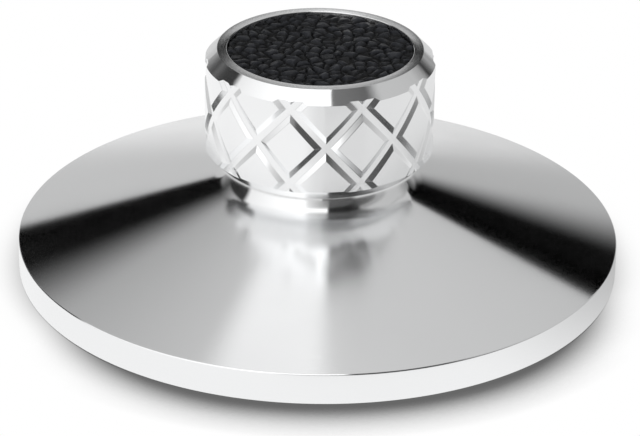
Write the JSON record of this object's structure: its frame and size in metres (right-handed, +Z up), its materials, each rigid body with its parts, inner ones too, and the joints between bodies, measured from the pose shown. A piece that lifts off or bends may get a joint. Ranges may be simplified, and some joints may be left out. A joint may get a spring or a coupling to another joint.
{
  "type": "record clamp",
  "caption": "Round aluminium record clamp: a shallow conical disc with a waisted neck, a crossed-groove grip knob and a leather inlay, that fits over a turntable spindle.",
  "frame": {"origin": "on the clamp's axis, in the plane of the contact ring's lower face, which lies on the record", "axes": "+Z up along the axis, from the record to the knob; +X and +Y are square to it, and -Y faces the camera of the picture"},
  "size_m": [0.1, 0.1, 0.0384],
  "materials": {
    "turned_aluminium": "fine turned, bright, with the turning marks running round the axis",
    "black_leather": "pebbled grain, low sheen",
    "grey_felt": "dense short felt",
    "brass": "turned, unpolished",
    "black_rubber": "smooth moulded"
  },
  "bodies": {
    "root": {"clamp_body": "turned_aluminium", "leather_inlay": "black_leather", "contact_ring": "grey_felt", "spindle_bush": "brass", "spindle_grip_ring": "black_rubber"}
  },
  "joints": []
}
